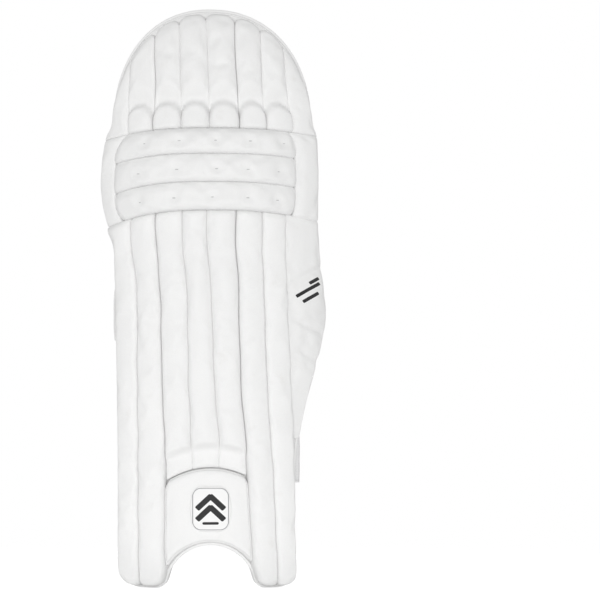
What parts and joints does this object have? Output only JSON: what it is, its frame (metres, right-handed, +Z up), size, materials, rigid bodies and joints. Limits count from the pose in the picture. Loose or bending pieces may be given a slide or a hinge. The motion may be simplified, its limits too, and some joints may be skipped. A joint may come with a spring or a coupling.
{
  "type": "batting pad",
  "caption": "Cricket leg guard with vertical shin ribs, cross-stitched knee rolls, a domed top hat, a calf wing, rear bolsters and straps closed round an open leg hollow.",
  "frame": {"origin": "on the ground under the centre of the pad's bounding box, straps included", "axes": "+Z up along the shin, face towards -Y, calf wing towards +X, leg side towards +Y"},
  "size_m": [0.2762, 0.1642, 0.7],
  "materials": {
    "leathercloth": "satin, fine pebble grain",
    "lining": "smooth coated cloth",
    "mesh": "matte knitted mesh",
    "piping": "satin, folded binding",
    "keeper_plastic": "moulded",
    "badge": "smooth print on film"
  },
  "bodies": {
    "root": {"shin_rib_1": "leathercloth", "shin_rib_2": "leathercloth", "shin_rib_3": "leathercloth", "shin_rib_4": "leathercloth", "shin_rib_5": "leathercloth", "shin_rib_6": "leathercloth", "shin_rib_7": "leathercloth", "instep_shield": "leathercloth", "calf_wing": "leathercloth", "knee_roll_1": "leathercloth", "knee_roll_2": "leathercloth", "knee_roll_3": "leathercloth", "knee_side_inner": "leathercloth", "knee_side_wing": "leathercloth", "top_hat_1": "leathercloth", "top_hat_2": "leathercloth", "top_hat_3": "leathercloth", "top_hat_4": "leathercloth", "top_hat_5": "leathercloth", "top_hat_6": "leathercloth", "top_hat_7": "leathercloth", "top_hat_8": "leathercloth", "bolster_wing": "leathercloth", "bolster_centre": "leathercloth", "bolster_inner": "leathercloth", "bolster_edge": "leathercloth", "ankle_bolster_wing": "leathercloth", "ankle_bolster_inner": "leathercloth", "knee_bolster_wing": "leathercloth", "knee_bolster_inner": "leathercloth", "knee_strap": "leathercloth", "calf_strap": "leathercloth", "ankle_strap": "leathercloth", "backing": "lining", "instep_lining": "lining", "crown_lining": "lining", "knee_mesh_wing": "mesh", "knee_mesh_inner": "mesh", "knee_strap_end": "mesh", "calf_strap_end": "mesh", "ankle_strap_end": "mesh", "calf_tab_upper": "mesh", "calf_tab_lower": "mesh", "edge_binding": "piping", "knee_keeper": "keeper_plastic", "calf_keeper": "keeper_plastic", "ankle_keeper": "keeper_plastic", "shield_badge": "badge"}
  },
  "joints": []
}
